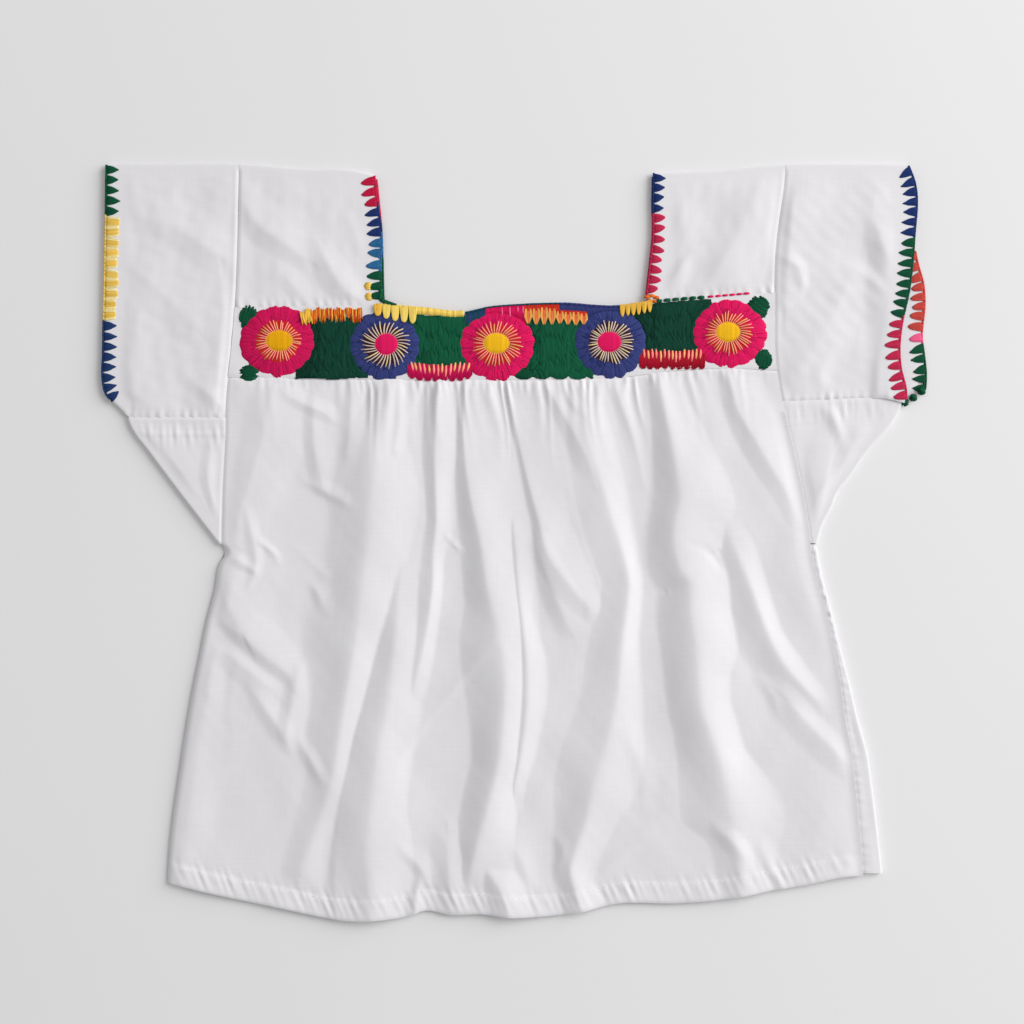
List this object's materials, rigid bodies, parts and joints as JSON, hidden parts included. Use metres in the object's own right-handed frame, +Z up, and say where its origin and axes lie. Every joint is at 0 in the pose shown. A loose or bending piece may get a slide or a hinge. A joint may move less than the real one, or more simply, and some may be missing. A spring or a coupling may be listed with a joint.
{
  "type": "child's embroidered blouse, laid flat",
  "caption": "Small child's white cotton blouse with a square neck, a gathered body, an embroidered flower band and toothed thread borders, laid flat with its front up.",
  "frame": {"origin": "on the surface that the blouse lies on, under the middle of its box", "axes": "+X to the viewer's right across the sleeves, +Y towards the shoulders, +Z up out of the surface"},
  "size_m": [0.38, 0.3482, 0.0067],
  "materials": {
    "white_cotton": "matt plain weave",
    "magenta_thread": "satin stitch",
    "navy_thread": "satin stitch",
    "green_thread": "satin stitch",
    "red_thread": "stranded cotton",
    "orange_thread": "stranded cotton",
    "yellow_thread": "stranded cotton",
    "blue_thread": "stranded cotton"
  },
  "bodies": {
    "root": {"back_band": "white_cotton", "back_body": "white_cotton", "back_body_turned_edge": "white_cotton", "front_band": "white_cotton", "front_body": "white_cotton", "sleeve_left": "white_cotton", "sleeve_right": "white_cotton", "strap_left": "white_cotton", "strap_right": "white_cotton", "gusset_left": "white_cotton", "gusset_right": "white_cotton", "flower_1": "magenta_thread", "flower_2": "navy_thread", "flower_3": "magenta_thread", "flower_4": "navy_thread", "flower_5": "magenta_thread", "leaves_1": "green_thread", "leaves_2": "green_thread", "leaves_3": "green_thread", "leaves_4": "green_thread", "corner_leaf_1": "green_thread", "corner_leaf_2": "green_thread", "corner_leaf_3": "green_thread", "corner_leaf_4": "green_thread", "fringe_1": "orange_thread", "fringe_2": "yellow_thread", "fringe_3": "red_thread", "scallops_1": "red_thread", "scallops_2": "red_thread", "border_cuff_left": "yellow_thread", "border_cuff_right": "navy_thread", "border_cuff_right_inside": "red_thread", "border_neck_left": "blue_thread", "border_neck_right": "magenta_thread", "rim_cuff_left_back": "green_thread", "rim_neck_left_back": "red_thread", "rim_neck_right_back": "blue_thread"}
  },
  "joints": []
}
